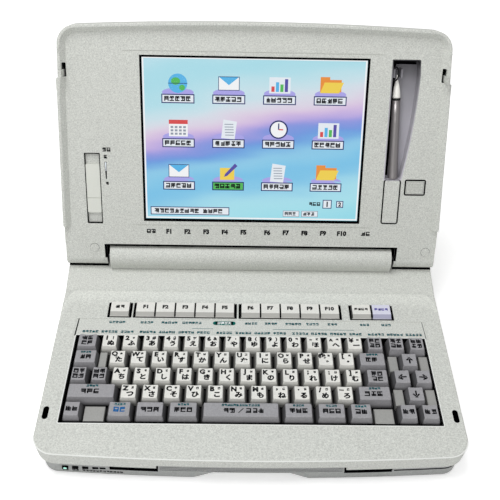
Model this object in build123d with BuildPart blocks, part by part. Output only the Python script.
"""Portable word processor: keyboard base with a printer behind the screen, and a hinged lid.

Frame: X to the right, Y to the back, Z up, millimetres. The origin lies on the table, under the
middle of the case. The lid stands open by LID_OPEN degrees.
"""
from math import atan2, cos, degrees, radians, sin
import os

from build123d import *

# ---- case: plan and heights ----------------------------------------------------------------------
FRONT_Y = -187.0          # foremost point of the bowed front edge
REAR_Y = 187.0
FRONT_HALF = 183.0        # half width at the front corners
REAR_HALF = 186.9
FRONT_BOW = 6.5           # the front edge bows forward by this much
CORNER_R = 20.0
FOOT_H = 2.0
DECK_Z = 35.5             # height of the keyboard deck
BAND_H = 15.5             # depth of the upper case's side wall
SEAM_Z = DECK_Z - BAND_H
DECK_T = 3.0
FLOOR_T = 2.5
LOWER_INSET = 4.0         # the lower case stands back from the upper one
UPPER_WALL = 5.5
LOWER_WALL = 2.6
REAR_H = 25.0             # the printer housing rises this far above the deck
RISE_Y = 8.0              # the deck starts to rise here
CREST_Y = 39.6
CREST_H = 6.8
HOUSING_Y = 58.0          # front wall of the printer housing

# ---- keyboard ------------------------------------------------------------------------------------
PITCH = 19.0
WELL = (328.4, 97.3)
WELL_FRONT_Y = -150.0
WELL_Y = WELL_FRONT_Y + WELL[1] / 2
ROW_Y = [WELL_FRONT_Y + 86.65 - PITCH * row for row in range(5)]
ROW_SHIFT = [1.3, 0.8, 0.3, 0.2, 0.2]      # the tops of the back rows lean towards the back
KEY_TOP = 5.0             # height of the key tops above the deck
KEY_SKIRT = 4.5           # depth of the skirts below the deck
KEY_GAP = 0.8
KEY_SLOPE = 2.7           # each side wall leans in by this much
KEY_TOP_DEPTH = 14.0
SCOOP_R = 30.0            # the tops are hollowed across
SCOOP_DEPTH = 0.6
STEM = 4.4
STEM_DEPTH = 13.0         # stems end this far below the deck
PLATE_TOP = 8.5           # the key plate lies this far below the deck
PLATE_T = 2.0
STEM_HOLE = 5.0
FIRST_KEY_X = -131.46     # the key "1"
LEFT_X = -163.3
BLOCK_RIGHT_X = 125.1
CURSOR_X = (135.6, 154.6)
STAGGER = [0.0, 0.5, 0.75, 1.25]           # in pitches, rows 1 to 4
LETTERS = [13, 12, 12, 11]                 # light keys in rows 1 to 4

# ---- function keys -------------------------------------------------------------------------------
FKEY_Y = -19.3
FKEY_DEPTH = 17.2
FKEY_W = 18.6
FKEY_TOP = 2.8
FKEY_X = {
    "key_switch": [-127.3],
    "key_f": [-102.6 + 19.3 * i for i in range(5)] + [-0.3 + 19.3 * i for i in range(5)],
    "key_case": [107.9],
    "key_menu": [127.6],
}
FKEY_WELLS = [(-127.3, 22.2), (-64.0, 99.4), (38.3, 99.4), (117.75, 41.9)]    # centre and width
FKEY_WELL_DEPTH = 18.4

# ---- hinge and lid -------------------------------------------------------------------------------
HINGE_Y = 42.5
HINGE_Z = DECK_Z + 16.2
LID_OPEN = 112.0
LEG_R = 8.85              # the lid's legs end in full rounds about the hinge axis
LID_T = 2 * LEG_R         # thickness behind the screen surface
SCREEN_UP = 120.0         # hinge axis to the middle of the screen
LID_TOP = 110.7
LID_BOW = 5.0
LID_TOP_HALF = 180.3
LID_LOW_HALF = 186.0
LID_SIDE = [(183.6, 44.0), (181.9, 60.0)]    # the sides step in above the latch buttons
LID_CORNER_R = 18.0
LID_LOW = -106.2          # lower edge between the legs
LEG_IN = 144.8            # the legs stand outside this half width
LEG_OUT = 185.6
RIM_H = 5.0
RIM_W = 2.6
RIM_END = -86.0           # the rim stops above the hinge
PART_N = -3.0             # the front and back mouldings meet here
SHELL_T = 2.5
SCREEN = (213.0, 160.0)
PIN_R = 3.0
RUNNING = 0.05            # radial clearance of a shaft in its bore
BARREL_R = 12.5
BARREL_HALF = 141.8

UP = Vector(0, cos(radians(180 - LID_OPEN)), sin(radians(180 - LID_OPEN)))
OUT = Vector(0, -UP.Z, UP.Y)                       # the way the screen faces
HINGE = Vector(0, HINGE_Y, HINGE_Z)
LID = Plane(origin=HINGE + UP * SCREEN_UP + OUT * LEG_R, x_dir=(1, 0, 0), z_dir=OUT)

# ---- lid fittings, in lid coordinates (x, up from the screen's middle) ---------------------------
TRAY_LEFT = 128.6
TRAY_TOP = 79.0
TRAY_LOW = -34.6
TRAY_RIGHT = [(153.8, 66.0), (151.4, 20.0), (144.2, TRAY_LOW)]
TRAY_DEPTH = 12.6
TRAY_T = 1.1
HOLDER = (129.4, -79.0, 143.8, -35.9)              # left, low, right, top
PEN_FOOT = (137.9, -40.6)
PEN_LEAN = 2.06
PEN_DEPTH = -6.3
SLIDER_SLOT = (-155.0, -48.0, 14.2, 70.2)          # middle x, middle up, width, height
SLIDER_KNOB = (13.4, 48.8)
BUTTON = (159.2, -42.4, 19.8, 15.2)
HOOK_X = 177.0
HOOK_UP = 63.0
HOOK_L = 6.0
HOOK_SLOT = (13.4, 5.0)
HOOK_SLOT_Y = HINGE_Y - SCREEN_UP - HOOK_UP        # where the hooks meet the deck
HOOK_ROOM = 8.0           # the deck is cut this deep for the hooks

# ---- printer, in case coordinates ----------------------------------------------------------------
COVER = (262.0, 60.0)
COVER_Y = 112.0           # middle of the cover
COVER_T = 2.6
COVER_HINGE = (0, COVER_Y + COVER[1] / 2 - COVER_T / 2, DECK_Z + REAR_H - COVER_T / 2)
COVER_PIN_R = 0.9
PLATEN_R = 9.5
PLATEN_Y = 126.0
PLATEN_Z = 40.0
PLATEN_L = 262.0
RAIL_R = 4.0
RAIL_Y = 90.0
RAIL_Z = 31.0
BEARER_X = 148.0
SLOT_Y = 153.0
SLOT = (258.0, 8.0)

# ---- carrying handle, disk drive and rear panel --------------------------------------------------
HANDLE_HALF = 119.6
GRIP_HALF = 78.2
HANDLE_LOW = 12.0
HANDLE_TOP = 14.6
GRIP_TOP = 23.8
HANDLE_BACK = -172.0
ARM_X = 110.0
ARM = (12.0, 88.0, 4.0)
DRIVE = (130.0, 101.6, 15.5)
DRIVE_Y = 12.0
DRIVE_FACE_X = 180.6
LAMP_X = [-157.0, -148.5, -140.0, -131.5, -125.4]
LAMP_Y = -178.0
LAMP_Z = 11.5
BOARD = (200.0, 125.0)
BOARD_XY = (-50.0, -22.0)
INLET_X = -120.0
SWITCH_X = -80.0
REAR_BLOCK = (68.0, 10.0, 14.6)     # moulding that carries the inlet and the switch
REAR_BLOCK_AT = (-100.0, 174.0, 12.0)
ROCKER_W = 18.0

os.makedirs("parts", exist_ok=True)


def save(part, name):
    """Label a finished piece and write it as one STEP file."""
    part.label = name
    export_step(part, f"parts/{name}.step")


def case_face(inset=0.0):
    """Plan of the case, moved inwards by inset."""
    with BuildSketch() as plan:
        with BuildLine():
            corner_y = FRONT_Y + FRONT_BOW
            front = ThreePointArc((-FRONT_HALF, corner_y), (0, FRONT_Y), (FRONT_HALF, corner_y))
            Polyline(front @ 1, (REAR_HALF, REAR_Y), (-REAR_HALF, REAR_Y), front @ 0)
        make_face()
        fillet(plan.vertices().group_by(Axis.Y)[0], CORNER_R)
        fillet(plan.vertices().group_by(Axis.Y)[-1], CORNER_R / 2)
        if inset:
            offset(amount=-inset)
    return plan.sketch


def is_outer(edge):
    """True for an edge on the rim of the deck, at the front or at either side."""
    middle = edge.center()
    return abs(edge.tangent_at(0.5).Z) < 0.5 and (abs(middle.X) > 170 or middle.Y < FRONT_Y + 15)


def lid_face(inset=0.0, low=LID_LOW):
    """Outline of the lid down to the height low, moved inwards by inset."""
    with BuildSketch() as outline:
        with BuildLine():
            side_y = LID_TOP - LID_BOW
            top = ThreePointArc((-LID_TOP_HALF, side_y), (0, LID_TOP), (LID_TOP_HALF, side_y))
            side = [*reversed(LID_SIDE), (LID_LOW_HALF, -76), (LID_LOW_HALF, low)]
            Polyline(top @ 1, *side, *[(-x, y) for x, y in reversed(side)], top @ 0)
        make_face()
        fillet(outline.vertices().group_by(Axis.Y)[-1], LID_CORNER_R)
        if inset:
            offset(amount=-inset, kind=Kind.INTERSECTION)
    return outline.sketch


def key_cap(width, shift=0.0, scoop=True):
    """A key cap with its stem. Its origin is the middle of its cell at the deck's height."""
    with BuildPart() as cap:
        with BuildSketch(Plane.XY.offset(-KEY_SKIRT)):
            Rectangle(width - KEY_GAP, PITCH - KEY_GAP)
        with BuildSketch(Plane.XY.offset(KEY_TOP)):
            with Locations((0, shift)):
                Rectangle(width - KEY_GAP - 2 * KEY_SLOPE, KEY_TOP_DEPTH)
        loft(ruled=True)
        chamfer(cap.edges().filter_by(lambda edge: abs(edge.tangent_at(0.5).Z) > 0.3), 0.9)
        if scoop:
            with BuildSketch(Plane.XZ):
                with Locations((0, KEY_TOP + SCOOP_R - SCOOP_DEPTH)):
                    Circle(SCOOP_R)
            extrude(amount=PITCH, both=True, mode=Mode.SUBTRACT)
        with BuildSketch(Plane.XY.offset(-KEY_SKIRT)):
            Rectangle(STEM, STEM)
        extrude(amount=KEY_SKIRT - STEM_DEPTH)
    return cap.part


def function_key():
    """A low key with a bevelled front, standing in its row on a stem."""
    with BuildPart() as key:
        with BuildSketch(Plane.YZ) as side:
            back = FKEY_DEPTH / 2
            Polygon((-back, -4), (-back, 0.9), (-back + 4.2, FKEY_TOP), (back, FKEY_TOP), (back, -4),
                    align=None)
        extrude(amount=FKEY_W / 2, both=True)
        chamfer(key.faces().sort_by(Axis.Z)[-1].edges(), 0.4)
        with BuildSketch(Plane.XY.offset(-4)):
            Rectangle(STEM, STEM)
        extrude(amount=4 - STEM_DEPTH)
    return key.part


CASE = case_face()
CASE_INNER = case_face(UPPER_WALL)
LOWER = case_face(LOWER_INSET)
LOWER_INNER = case_face(LOWER_INSET + LOWER_WALL)

SCREW_XY = [(-168, -166), (168, -166), (-172.5, -70), (172.5, -70), (-168, 160), (168, 160)]
FOOT_XY = [(-150, -160), (150, -160), (-150, 160), (150, 160)]

# ---- lower case ----------------------------------------------------------------------------------
with BuildPart() as bottom_case:
    with BuildSketch(Plane.XY.offset(SEAM_Z)):
        add(LOWER)
    extrude(amount=FOOT_H - SEAM_Z, taper=4)
    with BuildSketch(Plane.XY.offset(SEAM_Z)):
        add(LOWER_INNER)
    extrude(amount=FOOT_H + FLOOR_T - SEAM_Z, taper=4, mode=Mode.SUBTRACT)
    # walls of the handle's bay, then the bay, open to the front
    with BuildSketch(Plane.XY.offset(FOOT_H)):
        with Locations((0, (HANDLE_BACK + FRONT_Y) / 2 + 8)):
            Rectangle(2 * HANDLE_HALF + 6, HANDLE_BACK - FRONT_Y)
    extrude(amount=HANDLE_LOW - FOOT_H - 0.4)
    with BuildSketch(Plane.XY.offset(FOOT_H)):
        with Locations((0, HANDLE_BACK + 1.6)):
            Rectangle(2 * HANDLE_HALF + 6, 2.4)
    extrude(amount=SEAM_Z - FOOT_H - 0.2)
    with BuildSketch(Plane.XY.offset(HANDLE_LOW - 0.4)):
        with Locations((0, (HANDLE_BACK + FRONT_Y) / 2)):
            Rectangle(2 * HANDLE_HALF + 0.8, HANDLE_BACK - FRONT_Y + 0.8)
    extrude(amount=SEAM_Z, mode=Mode.SUBTRACT)
    with BuildSketch(Plane.XZ.offset(-HANDLE_BACK)):
        with Locations((-ARM_X, HANDLE_LOW + ARM[2] / 2 + 1), (ARM_X, HANDLE_LOW + ARM[2] / 2 + 1)):
            Rectangle(ARM[0] + 0.8, ARM[2] + 0.8)
    extrude(amount=-6, mode=Mode.SUBTRACT)
    # arched finger recess below the grip
    with BuildSketch(Plane.XZ.offset(-FRONT_Y)):
        with BuildLine():
            Spline((-60, 0), (-45, 4), (-30, HANDLE_LOW), tangents=((1, 0), (1, 0.4)))
            Line((-30, HANDLE_LOW), (30, HANDLE_LOW))
            Spline((30, HANDLE_LOW), (45, 4), (60, 0), tangents=((1, -0.4), (1, 0)))
            Line((60, 0), (-60, 0))
        make_face()
    extrude(amount=FRONT_Y - HANDLE_BACK, mode=Mode.SUBTRACT)
    # screw bosses with a through hole and a sunk seat for the head
    with BuildSketch(Plane.XY.offset(FOOT_H)):
        with Locations(*SCREW_XY):
            Circle(4.5)
    extrude(amount=SEAM_Z - FOOT_H - 1)
    with Locations(*[(x, y, FOOT_H) for x, y in SCREW_XY]):
        Cylinder(1.6, 60, mode=Mode.SUBTRACT)
        Cylinder(3.1, 8, mode=Mode.SUBTRACT)
    # seats of the rubber feet
    with Locations(*[(x, y, FOOT_H) for x, y in FOOT_XY]):
        Cylinder(9, 1.6, mode=Mode.SUBTRACT)
    # windows of the status lamps
    with Locations(*[(x, LAMP_Y, LAMP_Z) for x in LAMP_X]):
        Box(5.1, 12, 2.7, mode=Mode.SUBTRACT)
    # side window of the disk drive, and the inlet and switch in the rear wall
    with Locations((DRIVE_FACE_X - 4, DRIVE_Y, FOOT_H + FLOOR_T + DRIVE[2] / 2)):
        Box(20, DRIVE[1] + 0.4, DRIVE[2] + 0.4, mode=Mode.SUBTRACT)
    with Locations((INLET_X, REAR_Y - 4, 12)):
        Box(24.6, 12, 12.6, mode=Mode.SUBTRACT)
    with Locations((SWITCH_X, REAR_Y - 4, 12)):
        Box(ROCKER_W + 0.8, 12, 11.8, mode=Mode.SUBTRACT)
    # cooling louvres in the floor, below the power supply
    with BuildSketch(Plane.XY.offset(FOOT_H)):
        with Locations((-110, 120)):
            with GridLocations(8, 0, 9, 1):
                Rectangle(3, 34)
    extrude(amount=FLOOR_T, mode=Mode.SUBTRACT)
save(bottom_case.part, "bottom_case")

# ---- upper case ----------------------------------------------------------------------------------
with BuildPart() as top_case:
    with BuildSketch(Plane.XY.offset(DECK_Z)):
        add(CASE)
    extrude(amount=-BAND_H, taper=5)
    with BuildSketch(Plane.XY.offset(DECK_Z)):
        add(CASE)
        with Locations((0, RISE_Y - 250)):
            Rectangle(500, 500, mode=Mode.SUBTRACT)
    extrude(amount=CREST_H)
    with BuildSketch(Plane.YZ):
        Polygon((RISE_Y, DECK_Z), (RISE_Y, DECK_Z + 20), (CREST_Y, DECK_Z + 20),
                (CREST_Y, DECK_Z + CREST_H), align=None)
    extrude(amount=200, both=True, mode=Mode.SUBTRACT)
    # behind the housing's front wall the printer housing takes over
    with BuildSketch(Plane.XY.offset(SEAM_Z)):
        with Locations((0, HOUSING_Y + 100)):
            Rectangle(500, 200)
    extrude(amount=60, mode=Mode.SUBTRACT)
    rounded = top_case.edges().filter_by(lambda edge: edge.center().Z > DECK_Z - 0.1 and is_outer(edge))
    fillet(rounded, 1.5)
    # inside
    with BuildSketch(Plane.XY.offset(SEAM_Z)):
        add(CASE_INNER)
    extrude(amount=BAND_H - DECK_T, mode=Mode.SUBTRACT)
    # place of the hinge cover
    with Locations((0, (33.2 + HOUSING_Y) / 2, DECK_Z)):
        Box(2 * BARREL_HALF + 0.6, HOUSING_Y - 33.2, 40, mode=Mode.SUBTRACT)
    # keyboard, function keys and the shallow legend panel between them
    with Locations((0, WELL_Y, DECK_Z)):
        Box(WELL[0], WELL[1], 20, mode=Mode.SUBTRACT)
    for well_x, well_w in FKEY_WELLS:
        with Locations((well_x, FKEY_Y, DECK_Z)):
            Box(well_w, FKEY_WELL_DEPTH, 20, mode=Mode.SUBTRACT)
    with BuildSketch(Plane.XY.offset(DECK_Z)):
        with Locations((0, WELL_FRONT_Y + WELL[1] + 11)):
            Trapezoid(337, 22, 88, align=(Align.CENTER, Align.CENTER))
    extrude(amount=-0.4, mode=Mode.SUBTRACT)
    # slots for the lid's hooks
    with BuildSketch(Plane.XY.offset(DECK_Z)):
        with Locations((-HOOK_X, HOOK_SLOT_Y), (HOOK_X, HOOK_SLOT_Y)):
            SlotOverall(*HOOK_SLOT, rotation=90)
    extrude(amount=-HOOK_ROOM, mode=Mode.SUBTRACT)
    # the wall is raised over the grip
    with Locations((0, FRONT_Y, SEAM_Z)):
        Box(2 * GRIP_HALF + 2.4, 40, 9, mode=Mode.SUBTRACT)
    # bosses that take the case screws
    with BuildSketch(Plane.XY.offset(SEAM_Z - 1)):
        with Locations(*[xy for xy in SCREW_XY if xy[1] < HOUSING_Y]):
            Circle(4.5)
            Circle(1.5, mode=Mode.SUBTRACT)
    extrude(amount=BAND_H + 1 - DECK_T)
save(top_case.part, "top_case")

# ---- printer housing -----------------------------------------------------------------------------
with BuildPart() as printer_housing:
    with BuildSketch(Plane.XY.offset(DECK_Z)):
        add(CASE)
    extrude(amount=-BAND_H, taper=5)
    with BuildSketch(Plane.XY.offset(DECK_Z)):
        add(CASE)
    extrude(amount=REAR_H, taper=2)
    with BuildSketch(Plane.XY.offset(SEAM_Z)):
        with Locations((0, HOUSING_Y - 200)):
            Rectangle(500, 400)
    extrude(amount=80, mode=Mode.SUBTRACT)
    fillet(printer_housing.faces().sort_by(Axis.Z)[-1].edges(), 3)
    with BuildSketch(Plane.XY.offset(SEAM_Z)):
        add(CASE_INNER)
        with Locations((0, HOUSING_Y + 2.8 - 200)):
            Rectangle(500, 400, mode=Mode.SUBTRACT)
    extrude(amount=BAND_H + REAR_H - 3, mode=Mode.SUBTRACT)
    # opening under the cover with a ledge around it, and the paper slot
    with Locations((0, COVER_Y, DECK_Z + REAR_H - 4)):
        Box(COVER[0] + 10, COVER[1] + 10, 4)
    with Locations((0, COVER_Y, DECK_Z + REAR_H)):
        Box(COVER[0] + 0.8, COVER[1] + 0.8, 2 * COVER_T + 0.4, mode=Mode.SUBTRACT)
        Box(COVER[0] - 6, COVER[1] - 6, 20, mode=Mode.SUBTRACT)
    with BuildSketch(Plane.XY.offset(DECK_Z + REAR_H)):
        with Locations((0, SLOT_Y)):
            SlotOverall(*SLOT)
    extrude(amount=-4, mode=Mode.SUBTRACT)
    # bosses for the rear screws
    with BuildSketch(Plane.XY.offset(SEAM_Z - 1)):
        with Locations(*[xy for xy in SCREW_XY if xy[1] > HOUSING_Y]):
            Circle(4.5)
            Circle(1.5, mode=Mode.SUBTRACT)
    extrude(amount=BAND_H + REAR_H - 2)
    # bearers inside for the rail and the roller, and journals for the cover's pins
    with Locations((-BEARER_X, COVER_Y, DECK_Z + 4), (BEARER_X, COVER_Y, DECK_Z + 4)):
        Box(5, 66, 36.4)
    with Locations(Location((0, PLATEN_Y, PLATEN_Z), (0, 90, 0))):
        Cylinder(3 + RUNNING, 2 * BEARER_X + 20, mode=Mode.SUBTRACT)
    with Locations(Location((0, RAIL_Y, RAIL_Z), (0, 90, 0))):
        Cylinder(RAIL_R, 2 * BEARER_X + 20, mode=Mode.SUBTRACT)
    with Locations(Location(COVER_HINGE, (0, 90, 0))):
        Cylinder(COVER_PIN_R + RUNNING, COVER[0] + 7, mode=Mode.SUBTRACT)
save(printer_housing.part, "printer_housing")

# ---- hinge cover: the round hump between the lid's legs ------------------------------------------
SEAM = (33.5 - HINGE_Y, DECK_Z + 5.0 - HINGE_Z)                # foot of the hump's front face
SEAM_ANGLE = degrees(atan2(SEAM[1], SEAM[0]))
TANGENT_ANGLE = radians(SEAM_ANGLE - 28.0)
TANGENT = (BARREL_R * cos(TANGENT_ANGLE), BARREL_R * sin(TANGENT_ANGLE))
with BuildPart() as hinge_cover:
    with BuildSketch(Plane(origin=HINGE, x_dir=(0, 1, 0), z_dir=(1, 0, 0))):
        Circle(BARREL_R)
        Polygon(TANGENT, SEAM, (SEAM[0], -20), (BARREL_R, -20), (BARREL_R, 0), (0, 0), align=None)
        Circle(BARREL_R - 2.4, mode=Mode.SUBTRACT)
        Polygon((SEAM[0] + 2.4, -6), (SEAM[0] + 2.4, -20), (BARREL_R - 2.4, -20), (BARREL_R - 2.4, 0),
                (-4, 0), align=None, mode=Mode.SUBTRACT)
    extrude(amount=BARREL_HALF, both=True)
    with BuildSketch(Plane.YZ.offset(-BARREL_HALF)):
        with Locations((HINGE_Y, HINGE_Z)):
            Circle(BARREL_R)
            Polygon((SEAM[0], SEAM[1]), (SEAM[0], -20), (BARREL_R, -20), (BARREL_R, 0), (0, 0), align=None)
            Circle(PIN_R, mode=Mode.SUBTRACT)
    extrude(amount=14)
    mirror(about=Plane.YZ)
save(hinge_cover.part, "hinge_cover")

with BuildPart() as hinge_pins:
    with BuildSketch(Plane(origin=(BARREL_HALF - 14, HINGE_Y, HINGE_Z), z_dir=(1, 0, 0))):
        Circle(PIN_R)
    extrude(amount=36)
    chamfer(hinge_pins.edges().group_by(Axis.X)[-1], 0.6)
    mirror(about=Plane.YZ)
save(hinge_pins.part, "hinge_pins")

# ---- keyboard: where every key stands ------------------------------------------------------------
light_keys = []
for row, count in enumerate(LETTERS):
    for column in range(count):
        light_keys.append((FIRST_KEY_X + PITCH * (column + STAGGER[row]), row))

last_x = [FIRST_KEY_X + PITCH * (STAGGER[row] + LETTERS[row] - 0.5) for row in range(4)]
first_x = [FIRST_KEY_X + PITCH * (STAGGER[row] - 0.5) for row in range(4)]


def between(left, right, row):
    """A key that fills its row from left to right: middle x, row, width."""
    return ((left + right) / 2, row, right - left)


# dark keys that stay in one group: middle x, row, width
plain_dark = [
    between(LEFT_X, first_x[0], 0),
    (last_x[0] + PITCH / 2, 0, PITCH),
    (CURSOR_X[0], 0, PITCH),
    (CURSOR_X[1], 0, PITCH),
    between(LEFT_X, LEFT_X + 18.3, 2),
    between(LEFT_X + 18.3, first_x[2], 2),
    between(last_x[2], BLOCK_RIGHT_X, 2),
    between(LEFT_X, LEFT_X + 18.3, 4),
    between(-125.5, -101.5, 4),
    between(-101.5, -73.3, 4),
    between(-73.3, -44.4, 4),
    between(26.0, 54.9, 4),
    between(54.9, 83.0, 4),
    between(83.0, 106.0, 4),
    (CURSOR_X[0], 4, PITCH),
    (CURSOR_X[1], 4, PITCH),
]
# keys with a node and a joint of their own
single_keys = {
    "key_enter": between(last_x[1], BLOCK_RIGHT_X, 1),
    "key_shift_left": between(LEFT_X, first_x[3], 3),
    "key_shift_right": between(last_x[3], BLOCK_RIGHT_X, 3),
    "key_convert": between(-44.4, 26.0, 4),
    "key_up": (sum(CURSOR_X) / 2, 1, PITCH),
    "key_left": (CURSOR_X[0], 2, PITCH),
    "key_right": (CURSOR_X[1], 2, PITCH),
    "key_down": (sum(CURSOR_X) / 2, 3, PITCH),
}
tab_key = between(LEFT_X, first_x[1], 1)
TAB_STEP = 7.4

caps = {row: key_cap(PITCH, ROW_SHIFT[row]) for row in range(5)}

with BuildPart() as letter_keys:
    for row in range(4):
        with Locations(*[(x, ROW_Y[row], DECK_Z) for x, key_row in light_keys if key_row == row]):
            add(caps[row])
save(letter_keys.part, "letter_keys")

with BuildPart() as editing_keys:
    for key_x, row, width in plain_dark:
        with Locations((key_x, ROW_Y[row], DECK_Z)):
            add(key_cap(width, ROW_SHIFT[row], scoop=width < 1.3 * PITCH))
    # the tabulator key is raised on the left and low on the right
    tab_x, row, tab_width = tab_key
    with Locations((tab_x - TAB_STEP / 2, ROW_Y[row], DECK_Z)):
        add(key_cap(tab_width - TAB_STEP, ROW_SHIFT[row], scoop=False))
    low_x = tab_x + (tab_width - TAB_STEP) / 2 - KEY_GAP
    with Locations((low_x, ROW_Y[row], DECK_Z - KEY_SKIRT / 2 + 0.5)):
        Box(TAB_STEP, PITCH - KEY_GAP - 1, KEY_SKIRT + 1)
save(editing_keys.part, "editing_keys")

for name, (key_x, row, width) in single_keys.items():
    with BuildPart() as single_key:
        with Locations((key_x, ROW_Y[row], DECK_Z)):
            add(key_cap(width, ROW_SHIFT[row], scoop=width < 1.3 * PITCH))
    save(single_key.part, name)

fkey = function_key()
for name, middles in FKEY_X.items():
    for index, key_x in enumerate(middles):
        with BuildPart() as low_key:
            with Locations((key_x, FKEY_Y, DECK_Z)):
                add(fkey)
        save(low_key.part, f"{name}{index + 1}" if len(middles) > 1 else name)

# flat filler plates in the gaps of the key field
fillers = [
    (LEFT_X + 18.3 + 9.6, 4, 17.6), (114.8, 4, 16.6),
    (130.9, 1, 8.2), (159.4, 1, 8.2), (130.9, 3, 8.2), (159.4, 3, 8.2),
]
with BuildPart() as key_fillers:
    for filler_x, row, width in fillers:
        with Locations((filler_x, ROW_Y[row] - 1.5 * (row == 4), DECK_Z - PLATE_TOP / 2 - 0.4)):
            Box(width, PITCH - 1.6 - 1.5 * (row == 4), PLATE_TOP - 0.8)
    chamfer(key_fillers.edges().group_by(Axis.Z)[-1], 0.5)
save(key_fillers.part, "key_fillers")

stems = [(x, ROW_Y[row]) for x, row in light_keys]
stems += [(x, ROW_Y[row]) for x, row, _ in plain_dark]
stems += [(x, ROW_Y[row]) for x, row, _ in single_keys.values()]
stems += [(tab_key[0] - TAB_STEP / 2, ROW_Y[1])]
stems += [(x, FKEY_Y) for middles in FKEY_X.values() for x in middles]
PLATE_BACK = FKEY_Y + FKEY_WELL_DEPTH / 2 + 2.5
with BuildPart() as keyboard_plate:
    with BuildSketch(Plane.XY.offset(DECK_Z - PLATE_TOP - PLATE_T)):
        with Locations((0, (WELL_FRONT_Y - 2.5 + PLATE_BACK) / 2)):
            Rectangle(WELL[0] + 5, PLATE_BACK - WELL_FRONT_Y + 2.5)
        with Locations(*stems):
            Rectangle(STEM_HOLE, STEM_HOLE, mode=Mode.SUBTRACT)
    extrude(amount=PLATE_T)
    with BuildSketch(Plane.XY.offset(DECK_Z - PLATE_TOP)):
        with Locations((0, (WELL_FRONT_Y - 2.5 + PLATE_BACK) / 2)):
            Rectangle(WELL[0] + 5, PLATE_BACK - WELL_FRONT_Y + 2.5)
        with Locations((0, WELL_Y)):
            Rectangle(WELL[0] + 2, WELL[1] + 2, mode=Mode.SUBTRACT)
        with Locations((0, FKEY_Y)):
            Rectangle(WELL[0] + 2, FKEY_WELL_DEPTH + 2, mode=Mode.SUBTRACT)
    extrude(amount=PLATE_TOP - DECK_T)
save(keyboard_plate.part, "keyboard_plate")

# ---- electronics inside the case -----------------------------------------------------------------
with BuildPart() as main_board:
    with BuildSketch(Plane.XY.offset(9)):
        with Locations(BOARD_XY):
            Rectangle(*BOARD)
    extrude(amount=1.6)
    with Locations((-80, -30, 12.1), (-20, -10, 12.1)):
        Box(28, 28, 3)
    with Locations((-125, -20, 12.1)):
        with GridLocations(0, 22, 1, 3):
            Box(12, 18, 3)
    with BuildSketch(Plane.XY.offset(FOOT_H + FLOOR_T)):
        with Locations(BOARD_XY):
            with GridLocations(BOARD[0] - 14, BOARD[1] - 14, 2, 2):
                Circle(3)
    extrude(amount=9 - FOOT_H - FLOOR_T)
save(main_board.part, "main_board")

with BuildPart() as power_supply:
    with Locations((-110, 118, FOOT_H + FLOOR_T + 8.5)):
        Box(66, 72, 17)
    chamfer(power_supply.edges().filter_by(Axis.Z), 2)
save(power_supply.part, "power_supply")

with BuildPart() as power_inlet:
    with Locations(REAR_BLOCK_AT):
        Box(*REAR_BLOCK)
    with Locations((INLET_X, REAR_Y - 8, 12)):
        Box(24, 9, 12)
    with BuildSketch(Plane.XZ.offset(3.5 - REAR_Y)):
        with Locations((INLET_X, 12)):
            SlotOverall(17, 8)
    extrude(amount=11, mode=Mode.SUBTRACT)
    with Locations((INLET_X - 4.3, REAR_Y - 11, 12), (INLET_X + 4.3, REAR_Y - 11, 12)):
        Cylinder(1.2, 9, rotation=(90, 0, 0))
    # cavity and bearing of the rocker
    with Locations((SWITCH_X, REAR_Y - 10, 12)):
        Box(ROCKER_W + 0.6, 14, 11.8, mode=Mode.SUBTRACT)
    with Locations(Location((SWITCH_X, REAR_Y - 10.5, 12), (0, 90, 0))):
        Cylinder(1 + RUNNING, ROCKER_W + 5, mode=Mode.SUBTRACT)
save(power_inlet.part, "power_inlet")

with BuildPart() as power_switch:
    with BuildSketch(Plane.YZ.offset(SWITCH_X)):
        with Locations((REAR_Y - 10.5, 12)):
            Polygon((-4, -3), (5.2, -5), (4.2, 0), (5.2, 5), (-4, 3), align=None)
    extrude(amount=ROCKER_W / 2, both=True)
    with Locations(Location((SWITCH_X, REAR_Y - 10.5, 12), (0, 90, 0))):
        Cylinder(1, ROCKER_W + 4)
save(power_switch.part, "power_switch")

with BuildPart() as disk_drive:
    with Locations((DRIVE_FACE_X - DRIVE[0] / 2, DRIVE_Y, FOOT_H + FLOOR_T + DRIVE[2] / 2)):
        Box(*DRIVE)
    with Locations((DRIVE_FACE_X - 40, DRIVE_Y, 14.5)):
        Box(90, 91, 3.8, mode=Mode.SUBTRACT)
    with Locations((DRIVE_FACE_X - 2, DRIVE_Y, 14.5)):
        Box(5, 20, 9, mode=Mode.SUBTRACT)
    with Locations((DRIVE_FACE_X - 4, DRIVE_Y + 38, 8)):
        Box(8.2, 11, 5, mode=Mode.SUBTRACT)
save(disk_drive.part, "disk_drive")

with BuildPart() as eject_button:
    with Locations((DRIVE_FACE_X - 1.1, DRIVE_Y + 38, 8)):
        Box(5, 10, 4)
    fillet(eject_button.edges().group_by(Axis.X)[-1], 0.6)
save(eject_button.part, "eject_button")

# ---- printer mechanism ---------------------------------------------------------------------------
with BuildPart() as platen_roller:
    with Locations(Location((0, PLATEN_Y, PLATEN_Z), (0, 90, 0))):
        Cylinder(PLATEN_R, PLATEN_L)
        Cylinder(3, 2 * BEARER_X + 8)
    with BuildSketch(Plane.YZ.offset(BEARER_X - 10)):
        with Locations((PLATEN_Y, PLATEN_Z)):
            Circle(10.6)
            with PolarLocations(11.4, 24):
                Rectangle(2.4, 1.5)
    extrude(amount=5)
save(platen_roller.part, "platen_roller")

with BuildPart() as carriage_rail:
    with Locations(Location((0, RAIL_Y, RAIL_Z), (0, 90, 0))):
        Cylinder(RAIL_R, 2 * BEARER_X + 5)
save(carriage_rail.part, "carriage_rail")

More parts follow.
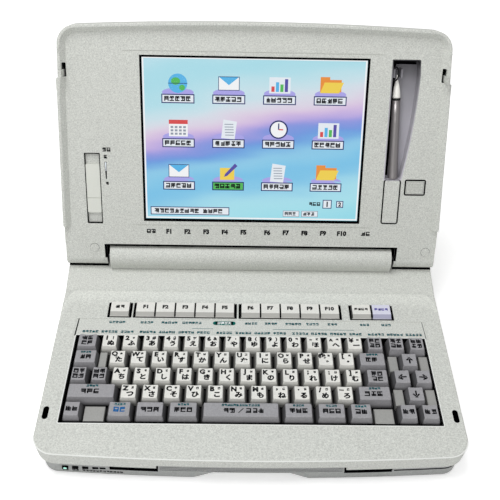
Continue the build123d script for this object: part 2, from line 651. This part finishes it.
with BuildPart() as print_carriage:
    with Locations((0, RAIL_Y + 2, RAIL_Z + 1)):
        Box(46, 22, 16)
    with Locations((0, PLATEN_Y - PLATEN_R - 6, PLATEN_Z)):
        Box(12, 9, 12)
    with Locations((0, RAIL_Y + 12, PLATEN_Z - 2)):
        Box(12, 14, 4)
    chamfer(print_carriage.edges().filter_by(Axis.Z), 0.8)
    with Locations(Location((0, RAIL_Y, RAIL_Z), (0, 90, 0))):
        Cylinder(RAIL_R + RUNNING, 60, mode=Mode.SUBTRACT)
save(print_carriage.part, "print_carriage")

with BuildPart() as ribbon_cassette:
    with BuildSketch(Plane.XY.offset(RAIL_Z + 9)):
        with Locations((0, RAIL_Y + 1)):
            RectangleRounded(74, 30, 5)
    extrude(amount=10)
    with BuildSketch(Plane.XY.offset(RAIL_Z + 19)):
        with Locations((-24, RAIL_Y + 1), (24, RAIL_Y + 1)):
            RegularPolygon(5, 6)
    extrude(amount=-3, mode=Mode.SUBTRACT)
save(ribbon_cassette.part, "ribbon_cassette")

with BuildPart() as printer_cover:
    # the rear edge is rounded about the hinge axis
    with BuildSketch(Plane.YZ):
        with Locations((COVER_HINGE[1], COVER_HINGE[2])):
            Circle(COVER_T / 2)
            with Locations(((COVER_T / 2 - COVER[1]) / 2, 0)):
                Rectangle(COVER[1] - COVER_T / 2, COVER_T)
    extrude(amount=COVER[0] / 2, both=True)
    # finger notch in the front edge
    with Locations((0, COVER_Y - COVER[1] / 2, DECK_Z + REAR_H)):
        Cylinder(9, 2.4, mode=Mode.SUBTRACT)
    with Locations(Location(COVER_HINGE, (0, 90, 0))):
        Cylinder(COVER_PIN_R, COVER[0] + 6)
save(printer_cover.part, "printer_cover")

# ---- carrying handle -----------------------------------------------------------------------------
with BuildPart() as carry_handle:
    with BuildSketch(Plane.XY.offset(HANDLE_LOW)):
        add(LOWER)
        with Locations((0, HANDLE_BACK - 1 + 200)):
            Rectangle(500, 400, mode=Mode.SUBTRACT)
        with Locations((0, FRONT_Y)):
            Rectangle(2 * HANDLE_HALF, 60, mode=Mode.INTERSECT)
    extrude(amount=HANDLE_TOP - HANDLE_LOW)
    with BuildSketch(Plane.XY.offset(HANDLE_TOP)):
        add(LOWER)
        with Locations((0, HANDLE_BACK - 1 + 200)):
            Rectangle(500, 400, mode=Mode.SUBTRACT)
        with Locations((0, FRONT_Y)):
            Rectangle(2 * GRIP_HALF, 60, mode=Mode.INTERSECT)
    extrude(amount=GRIP_TOP - HANDLE_TOP)
    with Locations((-ARM_X, HANDLE_BACK - 6, HANDLE_LOW + 1), (ARM_X, HANDLE_BACK - 6, HANDLE_LOW + 1)):
        Box(*ARM, align=(Align.CENTER, Align.MIN, Align.MIN))
save(carry_handle.part, "carry_handle")

# ---- small parts of the case ---------------------------------------------------------------------
with BuildPart() as rubber_feet:
    with Locations(*[(x, y, 0) for x, y in FOOT_XY]):
        Cylinder(8.8, FOOT_H + 0.8, align=(Align.CENTER, Align.CENTER, Align.MIN))
    chamfer(rubber_feet.edges().group_by(Axis.Z)[0], 0.6)
save(rubber_feet.part, "rubber_feet")

with BuildPart() as case_screws:
    with Locations(*[(x, y, FOOT_H + 1.4) for x, y in SCREW_XY]):
        Cylinder(2.9, 2, align=(Align.CENTER, Align.CENTER, Align.MIN))
        Cylinder(1.45, 24, align=(Align.CENTER, Align.CENTER, Align.MIN))
save(case_screws.part, "case_screws")

with BuildPart() as status_lamps:
    with Locations(*[(x, LAMP_Y, LAMP_Z) for x in LAMP_X]):
        Box(5, 3, 2.6)
save(status_lamps.part, "status_lamps")

# ---- lid: front moulding with the rim and the hinge legs -----------------------------------------
HINGE_SIDE = Plane(origin=HINGE + Vector(LEG_IN, 0, 0), x_dir=UP, z_dir=(1, 0, 0))
LEG_REACH = SCREEN_UP + LID_LOW


def tray_face(margin=0.0):
    """Outline of the pen tray: straight on the left, curved on the right."""
    with BuildSketch() as outline:
        with BuildLine():
            right = ThreePointArc(*TRAY_RIGHT)
            Polyline(right @ 1, (TRAY_LEFT, TRAY_LOW), (TRAY_LEFT, TRAY_TOP),
                     (TRAY_RIGHT[0][0] - 1, TRAY_TOP), right @ 0)
        make_face()
        if margin:
            offset(amount=margin)
    return outline.sketch


def height_in_lid(edge):
    """Height of an edge's middle over the screen surface."""
    return LID.to_local_coords(edge.center()).Z


def runs_along_rim(edge):
    """True for an edge on top of the rim, its two ends left out."""
    return abs(height_in_lid(edge) - RIM_H) < 0.01 and LID.to_local_coords(edge.center()).Y > RIM_END + 1


TRAY = tray_face()
TRAY_OUTER = tray_face(TRAY_T)
LID_FACE = lid_face()
RIM_INNER = lid_face(RIM_W)
SHELL_INNER = lid_face(SHELL_T + 0.3)
holder_at = ((HOLDER[0] + HOLDER[2]) / 2, (HOLDER[1] + HOLDER[3]) / 2)
holder_size = (HOLDER[2] - HOLDER[0], HOLDER[3] - HOLDER[1])
PEN_UP = LID.x_dir * -sin(radians(PEN_LEAN)) + UP * cos(radians(PEN_LEAN))
PEN_FOOT_AT = LID.from_local_coords(Vector(PEN_FOOT[0], PEN_FOOT[1], PEN_DEPTH))
PEN_SIDE = Plane(origin=PEN_FOOT_AT, x_dir=OUT, z_dir=OUT.cross(PEN_UP))
PEN_AXIS = Axis(PEN_FOOT_AT, PEN_UP)

with BuildPart() as lid_bezel:
    with BuildSketch(LID.offset(PART_N)):
        add(LID_FACE)
    extrude(amount=RIM_H - PART_N)
    # the screen surface is sunk, and its wall leans out to the rim
    with BuildSketch(LID.offset(RIM_H)):
        add(RIM_INNER)
    extrude(amount=-RIM_H, taper=42, mode=Mode.SUBTRACT)
    with BuildSketch(LID):
        with Locations((0, RIM_END - 50)):
            Rectangle(500, 100)
    extrude(amount=RIM_H + 1, mode=Mode.SUBTRACT)
    fillet(lid_bezel.edges().filter_by(runs_along_rim), 0.8)
    # legs with fully rounded ends, bored for the hinge pins
    with BuildSketch(HINGE_SIDE):
        Circle(LEG_R)
        with Locations((LEG_REACH / 2, 0)):
            Rectangle(LEG_REACH, 2 * LEG_R)
    extrude(amount=LEG_OUT - LEG_IN)
    with BuildSketch(HINGE_SIDE):
        Circle(PIN_R + RUNNING)
    extrude(amount=24, mode=Mode.SUBTRACT)
    mirror(about=Plane.YZ)
    # window of the screen, and the fine grooves above and below it
    with BuildSketch(LID.offset(PART_N)):
        Rectangle(*SCREEN)
    extrude(amount=10, mode=Mode.SUBTRACT)
    with BuildSketch(LID):
        with Locations((-2, 84), (0, -84.6)):
            Rectangle(240, 0.9)
    extrude(amount=-0.4, mode=Mode.SUBTRACT)
    # holes of the pen tray and its holder, the side button and the latch hooks
    with BuildSketch(LID.offset(PART_N)):
        add(TRAY_OUTER)
        with Locations(holder_at):
            RectangleRounded(holder_size[0] + 1.6, holder_size[1] + 1.6, 2.0)
        with Locations(BUTTON[:2]):
            Rectangle(16.6, 11.8)
    extrude(amount=4, mode=Mode.SUBTRACT)
    with BuildSketch(LID.offset(PART_N)):
        with Locations((HOOK_X - 0.6, HOOK_UP + 3), (0.6 - HOOK_X, HOOK_UP + 3)):
            RectangleRounded(3.5, 13, 1)
    extrude(amount=10, mode=Mode.SUBTRACT)
    # frame around the side button, the slider's sunk track and its slot
    with BuildSketch(LID):
        with Locations(BUTTON[:2]):
            RectangleRounded(BUTTON[2], BUTTON[3], 1.5)
            Rectangle(BUTTON[2] - 2, BUTTON[3] - 2, mode=Mode.SUBTRACT)
    extrude(amount=-1.4, mode=Mode.SUBTRACT)
    with BuildSketch(LID):
        with Locations(SLIDER_SLOT[:2]):
            Rectangle(*SLIDER_SLOT[2:])
    extrude(amount=-2.3, mode=Mode.SUBTRACT)
    with BuildSketch(LID):
        with Locations(SLIDER_SLOT[:2]):
            Rectangle(3.8, 27)
    extrude(amount=-4, mode=Mode.SUBTRACT)
save(lid_bezel.part, "lid_bezel")

# ---- lid: back moulding --------------------------------------------------------------------------
with BuildPart() as lid_shell:
    with BuildSketch(LID.offset(-LID_T)):
        add(LID_FACE)
    extrude(amount=LID_T + PART_N)
    fillet(lid_shell.faces().sort_by(Axis(LID.origin, LID.z_dir))[0].edges(), 5)
    with BuildSketch(LID.offset(SHELL_T - LID_T)):
        add(SHELL_INNER)
    extrude(amount=LID_T, mode=Mode.SUBTRACT)
    with BuildSketch(LID.offset(-12)):
        with Locations((-LID_LOW_HALF, 51), (LID_LOW_HALF, 51)):
            Rectangle(20, 13.6)
    extrude(amount=8, mode=Mode.SUBTRACT)
    # screw posts that reach the front moulding
    with BuildSketch(LID.offset(SHELL_T - LID_T)):
        with Locations((-168, 90), (168, 90), (-168, -90), (168, -90), (0, 95)):
            Circle(3.5)
            Circle(1.3, mode=Mode.SUBTRACT)
    extrude(amount=LID_T - SHELL_T + PART_N)
save(lid_shell.part, "lid_shell")

# ---- display -------------------------------------------------------------------------------------
with BuildPart() as touch_glass:
    with BuildSketch(LID.offset(PART_N - 1.9)):
        Rectangle(SCREEN[0] + 5, SCREEN[1] + 5)
    extrude(amount=1.8)
save(touch_glass.part, "touch_glass")

with BuildPart() as lcd_panel:
    with BuildSketch(LID.offset(-12)):
        Rectangle(238, 176)
    extrude(amount=6.8)
    with BuildSketch(LID.offset(-5.2)):
        Rectangle(SCREEN[0] + 4, SCREEN[1] + 4)
    extrude(amount=0.3)
save(lcd_panel.part, "lcd_panel")

with BuildPart() as inverter_board:
    with BuildSketch(LID.offset(-13)):
        with Locations((-133, 20)):
            Rectangle(18, 110)
    extrude(amount=1.4)
    with BuildSketch(LID.offset(-11.6)):
        with Locations((-133, 50), (-133, 0)):
            Rectangle(12, 24)
    extrude(amount=5)
save(inverter_board.part, "inverter_board")

# ---- pen, its tray and its holder ----------------------------------------------------------------
with BuildPart() as pen_tray:
    with BuildSketch(LID.offset(-TRAY_DEPTH - TRAY_T)):
        add(TRAY_OUTER)
    extrude(amount=TRAY_DEPTH + TRAY_T)
    with BuildSketch(LID.offset(-TRAY_DEPTH)):
        add(TRAY)
    extrude(amount=TRAY_DEPTH + 1, mode=Mode.SUBTRACT)
    # fork that steadies the tip of the pen
    with BuildSketch(LID.offset(-TRAY_DEPTH)):
        with Locations((134.1, 67)):
            Rectangle(9, 8)
            Rectangle(5.4, 8, mode=Mode.SUBTRACT)
    extrude(amount=9.5)
    with BuildSketch(Plane(origin=PEN_FOOT_AT, x_dir=(1, 0, 0), z_dir=PEN_UP)):
        Circle(5.3)
    extrude(amount=12, mode=Mode.SUBTRACT)
save(pen_tray.part, "pen_tray")

with BuildPart() as pen_holder:
    with BuildSketch(LID.offset(-14.4)):
        with Locations(holder_at):
            Rectangle(*holder_size)
    extrude(amount=14.4)
    fillet(pen_holder.edges().filter_by(Axis(LID.origin, LID.z_dir)), 1.2)
    with BuildSketch(Plane(origin=PEN_FOOT_AT - PEN_UP * 0.3, x_dir=(1, 0, 0), z_dir=PEN_UP)):
        Circle(5.2)
    extrude(amount=12, mode=Mode.SUBTRACT)
save(pen_holder.part, "pen_holder")

with BuildPart() as pen_barrel:
    with BuildSketch(PEN_SIDE):
        with BuildLine():
            Polyline((0, 0), (4.1, 0), (4.9, 0.8), (4.9, 8), (3.9, 84.4), (0, 84.4), (0, 0))
        make_face()
    revolve(axis=PEN_AXIS)
save(pen_barrel.part, "pen_barrel")

with BuildPart() as pen_tip:
    with BuildSketch(PEN_SIDE):
        with BuildLine():
            Polyline((0, 84.4), (3.7, 84.4), (3.7, 86), (3.3, 90.5), (2.5, 95.5), (1.1, 100), (0.8, 105),
                     (0, 106), (0, 84.4))
        make_face()
    revolve(axis=PEN_AXIS)
save(pen_tip.part, "pen_tip")

# ---- controls of the lid -------------------------------------------------------------------------
with BuildPart() as brightness_slider:
    with BuildSketch(LID.offset(-2.1)):
        with Locations(SLIDER_SLOT[:2]):
            RectangleRounded(*SLIDER_KNOB, 0.8)
    extrude(amount=1.9)
    with BuildSketch(LID.offset(-0.2)):
        with Locations((SLIDER_SLOT[0], SLIDER_SLOT[1] - SLIDER_KNOB[1] / 2 + 15)):
            Rectangle(SLIDER_KNOB[0] - 1, 0.8)
    extrude(amount=-0.7, mode=Mode.SUBTRACT)
    with BuildSketch(LID.offset(-6)):
        with Locations(SLIDER_SLOT[:2]):
            Rectangle(3, 5)
    extrude(amount=4)
save(brightness_slider.part, "brightness_slider")

with BuildPart() as side_button:
    with BuildSketch(LID.offset(-5)):
        with Locations(BUTTON[:2]):
            RectangleRounded(15.9, 11.1, 0.8)
    extrude(amount=4.9)
    with BuildSketch(LID):
        with Locations(BUTTON[:2]):
            with GridLocations(0, 1.8, 1, 5):
                Rectangle(13.4, 0.8)
    extrude(amount=-0.6, mode=Mode.SUBTRACT)
save(side_button.part, "side_button")


def latch(side):
    """Latch slider on one side: release button, plate and hook in one moulding."""
    hook_x = side * (HOOK_X + 0.2)
    with BuildPart() as slider:
        with BuildSketch(LID.offset(-9)):
            with Locations((side * 175.1, 59)):
                Rectangle(6.2, 29)
        extrude(amount=4.2)
        with BuildSketch(LID.offset(-11.4)):
            with Locations((side * 181.9, 51)):
                Rectangle(8.2, 12.4)
        extrude(amount=6.8)
        fillet(slider.faces().sort_by(Axis.X)[-1 if side > 0 else 0].edges(), 1.0)
        with BuildSketch(LID.offset(-4.8)):
            with Locations((hook_x, HOOK_UP)):
                Rectangle(1.2, HOOK_L)
        extrude(amount=18.3)
        with BuildSketch(LID.offset(11)):
            with Locations((hook_x + side * 0.6, HOOK_UP)):
                Rectangle(2.0, HOOK_L)
        extrude(amount=2.5)
        chamfer(slider.edges().filter_by(lambda edge: abs(height_in_lid(edge) - 13.5) < 0.01
                                         and abs(edge.center().X) > HOOK_X + 1), 1.2)
    return slider.part


save(latch(-1), "latch_left")
save(latch(1), "latch_right")

with BuildPart() as lid_bumpers:
    with BuildSketch(LID):
        with Locations((-157, -109.1), (175.8, -109.8)):
            Circle(4.3)
    extrude(amount=0.7)
    with BuildSketch(LID.offset(RIM_H)):
        with Locations((-179.6, 86), (179.6, 86)):
            Circle(1.1)
    extrude(amount=1.6)
save(lid_bumpers.part, "lid_bumpers")
